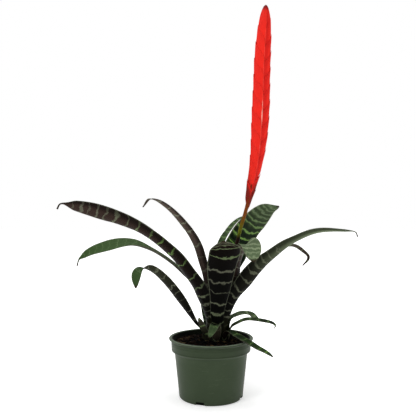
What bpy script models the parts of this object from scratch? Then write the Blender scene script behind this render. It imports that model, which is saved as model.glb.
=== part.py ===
# A flaming sword bromeliad in a round nursery pot, as separate named solids.
# Lengths are in millimetres and become metres when a mesh is made. +Z is up, the front looks
# towards -Y, and the origin is the centre of the pot's flat underside.
from math import cos, pi, radians, sin

import bmesh
import bpy
from mathutils import Matrix, Vector, noise
from mathutils.geometry import interpolate_bezier

MM = 0.001
GAP = 0.3
MERGE_DISTANCE = 0.00001

POT_HEIGHT = 107.0
POT_WALL = 1.8
LIP_RADIUS = 76.0
BAND_RADIUS = 72.0
BAND_FOOT = 84.0
BODY_TOP_RADIUS = 65.5
BODY_FOOT_RADIUS = 57.0
POT_SEGMENTS = 56
NOTCH_COUNT = 4
NOTCH_SIZE = (16.0, 10.0, 3.2)
NOTCH_TURN = -20.0

SOIL_EDGE = 97.0
SOIL_MOUND = 6.0
SOIL_BUMP = 1.4
SOIL_SEGMENTS = 40

ROSETTE_FOOT = Vector((5.0, 3.0, 88.0))
ROSETTE_LEAN = 11.0
LEAF_THICKNESS = 1.2
SHEATH_SPREAD = 1.56
SHEATH_RISE = 18.0
RING_RADII = (24.0, 20.5, 17.0, 13.5)
RING_LEVELS = (0.0, 14.0, 20.0, 26.0)
STEM_TOP = 32.0
STEM_SEGMENTS = 28
STEM_HOLE_RADIUS = RING_RADII[0] + LEAF_THICKNESS / 2 + 0.7
STEM_HOLE_DEPTH = 40.0
SOCKET_DEPTH = 10.0
STALK_RADIUS = 4.4
STALK_THINNING = 1.1
STALK_BRACTS = 3

SPIKE_BRACTS = 21
SPIKE_HALF_WIDTH = 15.2
BRACT_LENGTH = 64.0

# Each leaf is placed by its ring on the stem (0 is the outermost), the azimuth and width of its
# sheath, its greatest width and the share of its length where it has it, its fold (half the angle
# that its channel spans), its roll at the middle and at the tip with the stretch where the roll
# changes, how late it narrows, and the points that its midrib passes after leaving the stem.
LEAF_HABIT = dict(full=0.5, fold=42, roll=(0, 0), twist=(0.55, 0.85), blunt=5)
LEAVES = {
    "leaf_left_long": dict(
        ring=2, sheath=(228, 26), width=38, fold=48, roll=(20, 50), blunt=5.5,
        route=[(-17, -19, 188), (-42, -18, 228), (-69, -22, 260), (-124, -34, 303), (-191, -54, 331),
               (-242, -69, 344), (-259, -74, 337)]),
    "leaf_left_middle": dict(
        ring=1, sheath=(165, 26), width=30, fold=36, roll=(10, -48), blunt=8,
        route=[(-27, 12, 193), (-51, 17, 221), (-80, 24, 245), (-114, 33, 264), (-152, 42, 274),
               (-216, 58, 262), (-252, 67, 243), (-258, 69, 228)]),
    "leaf_left_low": dict(
        ring=0, sheath=(200, 18), width=25, roll=(15, -62), twist=(0.85, 0.93), blunt=7,
        route=[(-29, -11, 136), (-49, -20, 170), (-70, -30, 201), (-90, -39, 224), (-107, -46, 236),
               (-120, -52, 236), (-128, -56, 225), (-129, -57, 203)]),
    "leaf_left_upright": dict(
        ring=2, sheath=(140, 20), width=21, fold=45, roll=(15, 0), blunt=4,
        route=[(-9, 15, 213), (-17, 20, 242), (-28, 27, 275), (-46, 38, 303), (-81, 60, 340),
               (-117, 84, 358), (-134, 95, 342)]),
    "leaf_right_long": dict(
        ring=2, sheath=(322, 26), width=38, fold=48, roll=(-30, 0), blunt=4,
        route=[(41, -15, 180), (58, -18, 205), (78, -22, 231), (108, -28, 258), (141, -35, 282),
               (184, -49, 300), (236, -63, 301), (247, -66, 291)]),
    "leaf_right_curl": dict(
        ring=1, sheath=(52, 14), width=17, fold=45,
        route=[(40, 25, 180), (64, 31, 212), (90, 40, 236), (116, 52, 257), (157, 70, 268),
               (185, 82, 252), (191, 85, 242), (179, 80, 228)]),
    "leaf_front": dict(
        ring=1, sheath=(270, 29), width=57, full=0.75, blunt=6,
        route=[(11, -27, 156), (16, -36, 193), (21, -45, 233), (28, -62, 259), (29, -90, 277),
               (26, -132, 287)]),
    "leaf_front_drooping": dict(
        ring=3, sheath=(300, 15), width=46, full=0.9, fold=35, roll=(0, 16), twist=(0.7, 0.9), blunt=14,
        route=[(27, -14, 190), (40, -19, 225), (50, -23, 253), (56, -28, 270), (62, -36, 278),
               (66, -47, 274), (67, -55, 262), (68, -59, 247)]),
    "leaf_back": dict(
        ring=2, sheath=(60, 24), width=53, fold=38, roll=(34, 34), blunt=6,
        route=[(33, 23, 215), (43, 40, 253), (56, 55, 276), (69, 68, 295), (84, 82, 312),
               (101, 98, 329), (116, 110, 339), (138, 125, 343)]),
    "leaf_back_left": dict(
        ring=1, sheath=(100, 13), width=18,
        route=[(3, 36, 165), (5, 50, 215), (14, 62, 255), (24, 74, 281), (35, 88, 297), (46, 104, 310),
               (60, 122, 320), (76, 138, 325)]),
    "leaf_right_low_upper": dict(
        ring=0, sheath=(21, 11), width=19, full=0.9, fold=25, roll=(0, 50), twist=(0.75, 0.9), blunt=7,
        route=[(34, 4, 138), (48, 9, 146), (61, 14, 148), (72, 18, 145), (90, 24, 133)]),
    "leaf_right_low_lower": dict(
        ring=0, sheath=(349, 12), width=12, roll=(-5, 0),
        route=[(36, -3, 125), (48, -6, 134), (61, -9, 140), (75, -12, 141), (105, -18, 137),
               (114, -20, 132), (112, -19, 126)]),
    "leaf_right_over_rim": dict(
        ring=0, sheath=(308, 18), width=21, fold=28, blunt=8,
        route=[(30, -17, 121), (44, -32, 117), (56, -45, 112), (64, -52, 109), (78, -60, 102),
               (92, -66, 96), (104, -70, 89)]),
    "leaf_front_small": dict(
        ring=0, sheath=(266, 14), width=15, blunt=3,
        route=[(8, -27, 134), (5, -34, 131), (0, -41, 122), (-4, -44, 115)]),
    "leaf_left_small": dict(
        ring=0, sheath=(236, 9), width=12, blunt=3,
        route=[(-14, -23, 125), (-21, -28, 147)]),
    "leaf_rear_right": dict(
        ring=0, sheath=(66, 24), width=34,
        route=[(16, 60, 160), (19, 110, 188), (22, 165, 186), (24, 215, 160)]),
    "leaf_rear_left": dict(
        ring=0, sheath=(128, 24), width=30,
        route=[(-6, 55, 142), (-10, 100, 164), (-14, 150, 162), (-16, 190, 138)]),
}

# The midline of stalk and spike, from the stem's socket to the tip.
STALK_LINE = [(31, 3, 207), (53, 5, 300), (63.5, 5, 336), (70.4, 5, 365), (79.9, 5, 409)]
SPIKE_LINE = [(85, 5, 442), (88, 5, 474), (91, 5, 529), (93.7, 5, 609), (96.9, 5, 660), (99.9, 5, 709)]
SPIKE_START = 0.44


def clear_scene():
    for old in list(bpy.data.objects):
        bpy.data.objects.remove(old, do_unlink=True)


def new_collection(name):
    collection = bpy.data.collections.new(name)
    bpy.context.scene.collection.children.link(collection)
    return collection


def material(name, colour, roughness):
    made = bpy.data.materials.new(name)
    made.use_nodes = True
    shader = made.node_tree.nodes["Principled BSDF"]
    shader.inputs["Base Color"].default_value = (*colour, 1)
    shader.inputs["Roughness"].default_value = roughness
    shader.inputs["Metallic"].default_value = 0.0
    made.diffuse_color = (*colour, 1)
    return made


def smoothstep(low, high, value):
    share = min(max((value - low) / (high - low), 0), 1)
    return share * share * (3 - 2 * share)


def add_object(name, mesh, paint, collection):
    made = bpy.data.objects.new(name, mesh)
    collection.objects.link(made)
    mesh.materials.clear()
    mesh.materials.append(paint)
    return made


def mesh_from(bm, name):
    # A mesh in metres from a bmesh in millimetres.
    bmesh.ops.scale(bm, vec=(MM, MM, MM), verts=bm.verts)
    mesh = bpy.data.meshes.new(name)
    bm.to_mesh(mesh)
    bm.free()
    return mesh


def turned(name, profile, segments, paint, collection):
    # A profile of (radius, height) points, turned about Z by a Screw modifier.
    bm = bmesh.new()
    points = [bm.verts.new((radius, 0, height)) for radius, height in profile]
    for start, end in zip(points, points[1:]):
        bm.edges.new((start, end))
    made = add_object(name, mesh_from(bm, name), paint, collection)
    screw = made.modifiers.new("Turn", "SCREW")
    screw.steps = segments
    screw.render_steps = segments
    screw.use_merge_vertices = True
    screw.merge_threshold = MERGE_DISTANCE
    screw.use_smooth_shade = True
    return made


def applied(source, name, paint, collection):
    # The evaluated mesh of an object, as a new object; the source is removed.
    depsgraph = bpy.context.evaluated_depsgraph_get()
    mesh = bpy.data.meshes.new_from_object(source.evaluated_get(depsgraph))
    bpy.data.objects.remove(source, do_unlink=True)
    bm = bmesh.new()
    bm.from_mesh(mesh)
    bmesh.ops.remove_doubles(bm, verts=bm.verts, dist=MERGE_DISTANCE)
    bm.to_mesh(mesh)
    bm.free()
    mesh.name = name
    return add_object(name, mesh, paint, collection)


def cut(target, name, bm, cutters):
    # Cuts a bmesh in millimetres out of the target, which keeps the cutter as a wire shape.
    cutter = add_object(name, mesh_from(bm, name), target.active_material, cutters)
    cutter.hide_render = True
    cutter.display_type = "WIRE"
    boolean = target.modifiers.new("Cut", "BOOLEAN")
    boolean.operation = "DIFFERENCE"
    boolean.object = cutter
    boolean.solver = "EXACT"


def smooth_path(points, steps=10):
    # Points of a smooth curve through the given ones. Its first stretch is straight.
    before = [points[0], *points[:-1]]
    after = [*points[1:], points[-1]]
    headings = [(end - start).normalized() for start, end in zip(before, after)]
    headings[1] = headings[0]
    path = [points[0]]
    for start, end, leaving, arriving in zip(points, points[1:], headings, headings[1:]):
        reach = (end - start).length / 3
        path += interpolate_bezier(start, start + leaving * reach, end - arriving * reach, end, steps)[1:]
    return path


class Path:
    # A smooth curve read by its share of length, from 0 at the foot to 1 at the tip.
    def __init__(self, points):
        self.points = smooth_path([Vector(point) for point in points])
        self.lengths = [0.0]
        for start, end in zip(self.points, self.points[1:]):
            self.lengths.append(self.lengths[-1] + (end - start).length)
        self.length = self.lengths[-1]

    def place(self, share):
        target = min(max(share, 0), 1) * self.length
        step = max(i for i, length in enumerate(self.lengths[:-1]) if length <= target)
        span = self.lengths[step + 1] - self.lengths[step]
        return self.points[step].lerp(self.points[step + 1], (target - self.lengths[step]) / span)

    def tangent(self, share, reach=0.015):
        return (self.place(share + reach) - self.place(share - reach)).normalized()


def rosette_frame():
    return Matrix.Translation(ROSETTE_FOOT) @ Matrix.Rotation(radians(ROSETTE_LEAN), 4, "Y")


def axis_distance(point):
    local = rosette_frame().inverted() @ point
    return Vector((local.x, local.y)).length


def leaf_width(leaf, share):
    sheath = leaf["sheath"][1]
    broad = sheath + (leaf["width"] - sheath) * smoothstep(0.12, leaf["full"], share)
    taper = max(1 - share ** leaf["blunt"], 0) ** 0.8
    return max(broad * taper, 1.6)


def leaf_route(leaf):
    # The midrib rises along the stem for the sheath's first stretch, then follows its own points.
    azimuth = radians(leaf["sheath"][0])
    radius = RING_RADII[leaf["ring"]]
    level = RING_LEVELS[leaf["ring"]]
    foot = Vector((radius * cos(azimuth), radius * sin(azimuth), 0))
    rise = [rosette_frame() @ (foot + Vector((0, 0, level + height))) for height in (0, SHEATH_RISE)]
    return Path([*rise, *leaf["route"]])


def leaf_point(leaf, path, across, share):
    # across runs from -1 to 1 between the margins, share from the foot to the tip.
    centre = path.place(share)
    forward = path.tangent(share)
    azimuth = radians(leaf["sheath"][0])
    sheath_side = rosette_frame().to_3x3() @ Vector((-sin(azimuth), cos(azimuth), 0))
    heading = (path.place(1) - path.place(0)).xy.normalized()
    side = sheath_side.lerp(Vector((-heading.y, heading.x, 0)), smoothstep(0.08, 0.5, share))
    side = (side - forward * side.dot(forward)).normalized()
    middle_roll, tip_roll = leaf["roll"]
    roll = middle_roll * smoothstep(0.1, 0.45, share)
    roll += (tip_roll - middle_roll) * smoothstep(*leaf["twist"], share)
    side = Matrix.Rotation(radians(roll), 3, forward) @ side
    inner = forward.cross(side)
    reach = axis_distance(centre)
    width = min(leaf_width(leaf, share), SHEATH_SPREAD * reach)
    opening = smoothstep(0.1, 0.35, share)
    radius = reach + (width / (2 * radians(leaf["fold"])) - reach) * opening
    half = width / (2 * radius)
    rise = (1 - cos(across * half)) - opening * (1 - cos(half)) / 2
    return centre + side * radius * sin(across * half) + inner * radius * rise


def build_leaf(name, leaf, paint, collection):
    path = leaf_route(leaf)
    rows = 8 + round(path.length / 26)
    columns = 4
    bm = bmesh.new()
    bmesh.ops.create_grid(bm, x_segments=columns, y_segments=rows, size=1)
    for vert in bm.verts:
        vert.co = leaf_point(leaf, path, vert.co.x, (vert.co.y + 1) / 2)
    bmesh.ops.triangulate(bm, faces=bm.faces)
    made = add_object(name, mesh_from(bm, name), paint, collection)
    made.data.shade_smooth()
    solid = made.modifiers.new("Thickness", "SOLIDIFY")
    solid.thickness = LEAF_THICKNESS * MM
    solid.offset = 0
    return made


def build_pot(collection, cutters):
    paint = material("pot_green", (0.06, 0.09, 0.045), 0.55)
    inner_top = BAND_RADIUS - POT_WALL
    inner_body = BODY_TOP_RADIUS - POT_WALL
    inner_foot = BODY_FOOT_RADIUS - POT_WALL
    profile = [
        (0, POT_WALL + 0.4),
        (inner_foot - 1.5, POT_WALL + 0.4),
        (inner_foot + 0.4, POT_WALL + 3),
        (inner_body, BAND_FOOT - 6),
        (inner_top - 0.6, BAND_FOOT + 0.5),
        (inner_top, POT_HEIGHT - 2),
        (inner_top + 0.6, POT_HEIGHT - 0.3),
        (BAND_RADIUS, POT_HEIGHT),
        (LIP_RADIUS - 0.8, POT_HEIGHT - 0.2),
        (LIP_RADIUS, POT_HEIGHT - 1.4),
        (LIP_RADIUS - 0.4, POT_HEIGHT - 3.4),
        (BAND_RADIUS + 0.6, POT_HEIGHT - 4.6),
        (BAND_RADIUS - 0.6, BAND_FOOT + 2.2),
        (BAND_RADIUS - 1.6, BAND_FOOT),
        (BODY_TOP_RADIUS + 1, BAND_FOOT - 2.6),
        (BODY_TOP_RADIUS, BAND_FOOT - 5),
        (BODY_FOOT_RADIUS + 0.5, 7),
        (BODY_FOOT_RADIUS - 0.6, 2.4),
        (BODY_FOOT_RADIUS - 3, 0),
        (0, 0),
    ]
    pot = turned("pot", profile, POT_SEGMENTS, paint, collection)
    width, depth, height = NOTCH_SIZE
    for index in range(NOTCH_COUNT):
        turn = radians(NOTCH_TURN) + 2 * pi * index / NOTCH_COUNT
        bm = bmesh.new()
        bmesh.ops.create_cube(bm, size=1)
        bmesh.ops.scale(bm, vec=(depth, width, 2 * height), verts=bm.verts)
        bmesh.ops.translate(bm, vec=(BODY_FOOT_RADIUS + 1, 0, 0), verts=bm.verts)
        bmesh.ops.rotate(bm, matrix=Matrix.Rotation(turn, 3, "Z"), verts=bm.verts)
        cut(pot, f"notch_{index + 1}", bm, cutters)


def build_soil(collection, cutters):
    paint = material("soil_dark", (0.03, 0.02, 0.013), 0.95)
    wall = POT_WALL + GAP
    edge = BAND_RADIUS - wall - 0.5
    rings = (edge - 4, edge - 13, edge - 23, edge - 33, edge - 43)
    crown = [(radius, SOIL_EDGE + SOIL_MOUND * smoothstep(edge, 20, radius)) for radius in rings]
    profile = [
        (0, SOIL_EDGE + SOIL_MOUND),
        *reversed(crown),
        (edge, SOIL_EDGE),
        (edge - 0.4, BAND_FOOT + 1.2),
        (BODY_TOP_RADIUS - wall, BAND_FOOT - 6),
        (BODY_FOOT_RADIUS - wall - 0.2, POT_WALL + 5),
        (BODY_FOOT_RADIUS - wall - 3.5, POT_WALL + 0.4 + GAP),
        (0, POT_WALL + 0.4 + GAP),
    ]
    shape = turned("soil_shape", profile, SOIL_SEGMENTS, paint, collection)
    soil = applied(shape, "soil", paint, collection)
    for vert in soil.data.vertices:
        reach = vert.co.xy.length / MM
        if vert.co.z / MM > SOIL_EDGE - 0.1:
            lump = noise.noise(vert.co * 90) + 0.6 * noise.noise(vert.co * 210)
            vert.co.z += SOIL_BUMP * MM * lump * (1 - smoothstep(edge - 6, edge, reach) * 0.6)
    bm = bmesh.new()
    bmesh.ops.create_cone(bm, cap_ends=True, segments=32, radius1=STEM_HOLE_RADIUS,
                          radius2=STEM_HOLE_RADIUS, depth=STEM_HOLE_DEPTH)
    bmesh.ops.translate(bm, vec=(0, 0, STEM_HOLE_DEPTH / 2 - GAP), verts=bm.verts)
    bmesh.ops.transform(bm, matrix=rosette_frame(), verts=bm.verts)
    cut(soil, "stem_hole", bm, cutters)


def build_stem(collection):
    paint = material("stem_pale", (0.25, 0.22, 0.12), 0.8)
    seats = [radius - LEAF_THICKNESS / 2 - GAP for radius in RING_RADII]
    socket = STALK_RADIUS + GAP
    floor = STEM_TOP - SOCKET_DEPTH - GAP
    profile = [(0, floor), (socket, floor), (socket, STEM_TOP)]
    for seat, level in zip(reversed(seats), reversed(RING_LEVELS)):
        top = profile[-1][1]
        profile += [(seat, top), (seat, level)]
    profile.append((0, 0))
    rosette = bpy.data.objects.new("rosette", None)
    rosette.location = ROSETTE_FOOT * MM
    rosette.rotation_euler.y = radians(ROSETTE_LEAN)
    collection.objects.link(rosette)
    stem = turned("stem", profile, STEM_SEGMENTS, paint, collection)
    stem.parent = rosette


def flower_path():
    foot = rosette_frame() @ Vector((0, 0, STEM_TOP - SOCKET_DEPTH))
    neck = rosette_frame() @ Vector((0, 0, STEM_TOP + 6))
    return Path([foot, neck, *STALK_LINE, *SPIKE_LINE])


def spindle(path, start, end, outline, columns, rows):
    # A closed body along the path from start to end; outline gives for each share its
    # offset, half width and half depth.
    bm = bmesh.new()
    bmesh.ops.create_uvsphere(bm, u_segments=columns, v_segments=rows, radius=1)
    for vert in bm.verts:
        share = (vert.co.z + 1) / 2
        offset, half_width, half_depth = outline(share)
        where = start + (end - start) * share
        ring = vert.co.xy
        direction = ring.normalized() if ring.length > 0.001 else Vector((0, 0))
        forward = path.tangent(where)
        depth_way = Vector((0, 1, 0))
        width_way = depth_way.cross(forward).normalized()
        vert.co = (path.place(where) + width_way * (offset + direction.x * half_width)
                   + depth_way * direction.y * half_depth)
    return bm


def union(name, parts, paint, collection):
    # One body from several closed ones: the first is the base, the rest join it.
    pieces = new_collection(name + "_pieces")
    base = add_object(name + "_base", parts[0], paint, collection)
    for index, mesh in enumerate(parts[1:]):
        add_object(f"{name}_piece_{index}", mesh, paint, pieces)
    join = base.modifiers.new("Join", "BOOLEAN")
    join.operation = "UNION"
    join.operand_type = "COLLECTION"
    join.collection = pieces
    join.solver = "EXACT"
    applied(base, name, paint, collection)
    for piece in list(pieces.objects):
        bpy.data.objects.remove(piece, do_unlink=True)
    bpy.data.collections.remove(pieces)


def build_stalk(collection):
    paint = material("stalk_green", (0.35, 0.2, 0.05), 0.5)
    path = flower_path()
    curve = bpy.data.curves.new("stalk_line", "CURVE")
    curve.dimensions = "3D"
    curve.bevel_depth = MM
    curve.bevel_resolution = 3
    curve.use_fill_caps = True
    spline = curve.splines.new("POLY")
    rows = 20
    spline.points.add(rows)
    for index, dot in enumerate(spline.points):
        where = SPIKE_START * index / rows
        dot.co = (*(path.place(where) * MM), 1)
        dot.radius = STALK_RADIUS - STALK_THINNING * smoothstep(0.15, 0.34, where)
    tube = applied(add_object("stalk_line", curve, paint, collection), "stalk_tube", paint, collection)
    stalk = tube.data
    bpy.data.objects.remove(tube, do_unlink=True)
    sheaths = [mesh_from(stalk_bract(path, index), "bract") for index in range(STALK_BRACTS)]
    union("flower_stalk", [stalk, *sheaths], paint, collection)


def stalk_bract(path, index):
    # A pointed bract that clasps the stalk, on alternate sides.
    start = 0.366 + 0.014 * index
    hand = 1 if index % 2 else -1

    def outline(share):
        half = 0.8 + (3.4 + index) * smoothstep(0, 0.35, share) * (1 - smoothstep(0.6, 1, share))
        return hand * (0.4 + (2 + index) * smoothstep(0.3, 1, share)), half, half * 0.9

    return spindle(path, start, start + 0.045, outline, 8, 7)


def spike_half_width(share):
    # The spike's outline: narrow at its foot, broadest below the middle, rounded to a point.
    widen = 0.55 + 0.45 * smoothstep(-0.05, 0.42, share)
    return SPIKE_HALF_WIDTH * widen * max(1 - share ** 8, 0) ** 0.6


def build_spike(collection):
    paint = material("spike_red", (0.8, 0.03, 0.015), 0.4)
    path = flower_path()
    foot = SPIKE_START + GAP / path.length

    def core(share):
        half_width = min(spike_half_width(share) * 0.7, 3.6 + 30 * share)
        return 0, half_width, 3.2 * (1 - share ** 6) + 0.3

    parts = [mesh_from(spindle(path, foot, 0.985, core, 8, 14), "core")]
    for index in range(SPIKE_BRACTS):
        parts.append(mesh_from(spike_bract(path, foot, index), "bract"))
    union("flower_spike", parts, paint, collection)


def spike_bract(path, foot, index):
    # A keeled, boat-shaped bract. The two ranks alternate left and right.
    length = BRACT_LENGTH / path.length / (1 - foot)
    low = 0.004 + (0.996 - length) * index / (SPIKE_BRACTS - 1)
    hand = 1 if index % 2 else -1

    def outline(along):
        edge = spike_half_width(low + length * along)
        outer = edge * (0.2 + 0.75 * smoothstep(0, 0.4, along) + 0.09 * along)
        inner = -1.5 + (outer + 0.6) * smoothstep(0.5, 1, along)
        depth = 4.2 * smoothstep(-0.2, 0.3, along) * (1 - smoothstep(0.55, 1.02, along)) + 0.5
        return hand * (outer + inner) / 2, max(outer - inner, 0.6) / 2, depth

    start = foot + (1 - foot) * low
    return spindle(path, start, start + (1 - foot) * length, outline, 6, 8)


def build_leaves(collection):
    for name, habit in LEAVES.items():
        leaf = {**LEAF_HABIT, **habit}
        paint = material(name + "_green", (0.04, 0.06, 0.03), 0.4)
        build_leaf(name, leaf, paint, collection)


def main():
    clear_scene()
    plant = new_collection("flaming_sword_bromeliad")
    cutters = new_collection("cutters")
    build_pot(plant, cutters)
    build_soil(plant, cutters)
    build_stem(plant)
    build_leaves(plant)
    build_stalk(plant)
    build_spike(plant)


main()
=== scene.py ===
# The looks of a flaming sword bromeliad in its nursery pot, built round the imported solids.
# Lengths are in millimetres and become metres when a mesh is finished. +Z is up, the front
# looks towards -Y and the origin is the centre of the pot's underside.
import random
from bisect import bisect_right
from math import cos, pi, radians, sin

import bmesh
import bpy
from mathutils import Matrix, Vector, noise
from mathutils.geometry import interpolate_bezier


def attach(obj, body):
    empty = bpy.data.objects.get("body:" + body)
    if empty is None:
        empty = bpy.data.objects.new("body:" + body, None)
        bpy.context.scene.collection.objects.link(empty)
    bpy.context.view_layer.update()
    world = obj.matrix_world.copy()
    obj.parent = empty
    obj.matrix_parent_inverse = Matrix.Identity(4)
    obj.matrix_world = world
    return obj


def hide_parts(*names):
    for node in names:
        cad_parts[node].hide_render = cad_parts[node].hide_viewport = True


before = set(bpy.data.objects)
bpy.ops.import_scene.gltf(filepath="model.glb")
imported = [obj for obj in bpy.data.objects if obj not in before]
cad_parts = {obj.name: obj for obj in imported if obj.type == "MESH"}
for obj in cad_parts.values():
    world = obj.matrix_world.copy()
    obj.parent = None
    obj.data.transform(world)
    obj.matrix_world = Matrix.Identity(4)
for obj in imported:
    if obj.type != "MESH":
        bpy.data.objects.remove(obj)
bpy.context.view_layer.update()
mm = 0.001
print("frame loaded:", len(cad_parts), "nodes")


def ramp(low, high, value):
    # 0 below low, 1 above high, smooth between them.
    share = min(max((value - low) / (high - low), 0), 1)
    return share * share * (3 - 2 * share)


def blendOf(first, second, share):
    return first + (second - first) * share


def along(values, share):
    # Reads an evenly spaced list of numbers at a share of its length.
    place = min(max(share, 0), 1) * (len(values) - 1)
    low = min(int(place), len(values) - 2)
    return blendOf(values[low], values[low + 1], place - low)


def colour(red, green, blue):
    # A screen colour, 0 to 255, as the shader's linear one.
    return tuple((part / 255 / 12.92) if part < 10.3 else ((part / 255 + 0.055) / 1.055) ** 2.4
                 for part in (red, green, blue))


# Shader values that take part in ordinary sums

def sumOf(operation, swapped=False):
    def method(self, other):
        pair = (other, self) if swapped else (self, other)
        return self.paint.maths(operation, *pair)
    return method


class Wire:
    def __init__(self, paint, socket):
        self.paint = paint
        self.socket = socket

    __add__ = sumOf("ADD")
    __radd__ = sumOf("ADD", True)
    __sub__ = sumOf("SUBTRACT")
    __rsub__ = sumOf("SUBTRACT", True)
    __mul__ = sumOf("MULTIPLY")
    __rmul__ = sumOf("MULTIPLY", True)
    __truediv__ = sumOf("DIVIDE")
    __rtruediv__ = sumOf("DIVIDE", True)


class Paint:
    # One material, or the studio's sky, while it is being mixed.
    def __init__(self, name, kind=bpy.data.materials, shader="Principled BSDF"):
        self.made = kind.new(name)
        self.made.use_nodes = True
        self.tree = self.made.node_tree
        self.shader = self.tree.nodes[shader]

    def plug(self, socket, value):
        if isinstance(value, Wire):
            self.tree.links.new(value.socket, socket)
        elif socket.type == "RGBA":
            socket.default_value = (*value, 1)
        else:
            socket.default_value = value

    def node(self, kind, settings=None, sockets=None, output=0):
        made = self.tree.nodes.new(kind)
        for name, value in (settings or {}).items():
            setattr(made, name, value)
        for key, value in (sockets or {}).items():
            self.plug(made.inputs[key], value)
        return Wire(self, made.outputs[output])

    def maths(self, operation, *values):
        return self.node("ShaderNodeMath", {"operation": operation}, dict(enumerate(values)))

    def mix(self, share, first, second):
        return self.node("ShaderNodeMix", {"data_type": "RGBA"}, {0: share, 6: first, 7: second}, 2)

    def step(self, value, low, high):
        # 0 below low, 1 above high, smooth between them.
        settings = {"interpolation_type": "SMOOTHSTEP"}
        return self.node("ShaderNodeMapRange", settings, {0: value, 1: low, 2: high})

    def stretched(self, place, scale):
        return self.node("ShaderNodeMapping", None, {0: place, "Scale": scale})

    def noise(self, place, scale, detail=2.0, rough=0.5):
        sockets = {"Vector": place, "Scale": scale, "Detail": detail, "Roughness": rough}
        return self.node("ShaderNodeTexNoise", None, sockets)

    def length(self, vector):
        return self.node("ShaderNodeVectorMath", {"operation": "LENGTH"}, {0: vector}, 1)

    def read(self, name, output=2):
        # An attribute of the mesh: output 1 is a vector, 2 a number.
        return self.node("ShaderNodeAttribute", {"attribute_name": name}, None, output)

    def parts(self, vector):
        split = self.node("ShaderNodeSeparateXYZ", None, {0: vector}).socket.node
        return [Wire(self, socket) for socket in split.outputs]

    def objectPlace(self):
        return self.node("ShaderNodeTexCoord", None, None, 3)

    def bump(self, height, strength, distance):
        sockets = {"Strength": strength, "Distance": distance * mm, "Height": height}
        return self.node("ShaderNodeBump", None, sockets)

    def finish(self, sockets):
        for name, value in sockets.items():
            self.plug(self.shader.inputs[name], value)
        return self.made


# Meshes

def newPiece(name, bm, paints, stands, smooth=True):
    # Turns a bmesh in millimetres into a piece of the object in metres.
    bmesh.ops.scale(bm, vec=(mm, mm, mm), verts=bm.verts)
    mesh = bpy.data.meshes.new(name)
    bm.to_mesh(mesh)
    bm.free()
    for paint in paints:
        mesh.materials.append(paint)
    if smooth:
        mesh.shade_smooth()
    made = bpy.data.objects.new(name, mesh)
    bpy.context.scene.collection.objects.link(made)
    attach(made, "root")
    if stands:
        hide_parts(*stands)
    return made


def spun(profile, steps):
    # A closed shell from radii and heights that start and end on the axis.
    bm = bmesh.new()
    points = [bm.verts.new((radius, 0, height)) for radius, height in profile]
    edges = [bm.edges.new(pair) for pair in zip(points, points[1:])]
    bmesh.ops.spin(bm, geom=points + edges, axis=(0, 0, 1), cent=(0, 0, 0), steps=steps,
                   angle=2 * pi, use_merge=True)
    bmesh.ops.remove_doubles(bm, verts=bm.verts, dist=0.01)
    bmesh.ops.recalc_face_normals(bm, faces=bm.faces)
    return bm


def thicken(made, thickness, offset):
    solid = made.modifiers.new("Thickness", "SOLIDIFY")
    solid.thickness = thickness * mm
    solid.offset = offset
    return solid


def smoothPath(points, steps=14):
    # Points of a smooth curve through the given ones. Its first stretch is straight.
    before = [points[0], *points[:-1]]
    after = [*points[1:], points[-1]]
    headings = [(end - start).normalized() for start, end in zip(before, after)]
    headings[1] = headings[0]
    path = [points[0]]
    for start, end, leaving, arriving in zip(points, points[1:], headings, headings[1:]):
        reach = (end - start).length / 3
        path += interpolate_bezier(start, start + leaving * reach, end - arriving * reach, end, steps)[1:]
    return path


class Path:
    # A smooth curve that is read by its share of length.
    def __init__(self, points):
        self.points = smoothPath([Vector(point) for point in points])
        self.lengths = [0.0]
        for start, end in zip(self.points, self.points[1:]):
            self.lengths.append(self.lengths[-1] + (end - start).length)
        self.length = self.lengths[-1]

    def place(self, share):
        target = min(max(share, 0), 1) * self.length
        step = min(bisect_right(self.lengths, target), len(self.lengths) - 1) - 1
        span = self.lengths[step + 1] - self.lengths[step]
        return self.points[step].lerp(self.points[step + 1], (target - self.lengths[step]) / span)

    def tangent(self, share, reach=0.015):
        return (self.place(share + reach) - self.place(share - reach)).normalized()


# The rosette: where the stem stands, how it leans, and where each ring of leaves sits on it.
rosette = dict(foot=Vector((5, 3, 88)), lean=11, ringRadii=(24, 20.5, 17, 13.5), ringLevels=(0, 14, 20, 26),
               sheathRise=18, sheathSpread=1.56)


def rosetteFrame():
    return Matrix.Translation(rosette["foot"]) @ Matrix.Rotation(radians(rosette["lean"]), 4, "Y")


def axisDistance(point):
    local = rosetteFrame().inverted() @ point
    return Vector((local.x, local.y)).length


# Each leaf has its ring on the stem (0 is the outermost), the azimuth and width of its sheath, its
# greatest width and the share of its length where it is full, its fold and the fold of its tip (half
# the angle of its channel, below 0 where it arches instead), its roll at the middle and the tip with
# the shares between which the second twist comes, how late and blunt it narrows, where the tip's
# thin hook begins, how high its margins ripple, and the points that its midrib passes. A turned leaf
# shows its under side on both faces. Its looks run from foot to tip: ruddy is green-black to
# purple-brown, the next is how much grey-green scale coat and painted sheen of up-facing parts it has,
# and lime how bright green the cross lines are. Painted shade can darken the side of one margin. A line
# is so wide, sags by so much in the middle, and lies at the given distances, or every so many millimetres.
leafHabit = dict(
    full=0.5, fold=42, tipFold=24, roll=(0, 0), twist=(0.55, 0.85), blunt=5, hook=None, ripple=0.5,
    turned=False, ruddy=(0.3, 0.5, 0.7), scalesAndSheen=(0.0, 0.1, 0.3), lime=(0.3, 0.5, 0.2), marginShade=0,
    line=1.6, sag=3.0, lines=None, spacing=(14, 20, 13))
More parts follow.
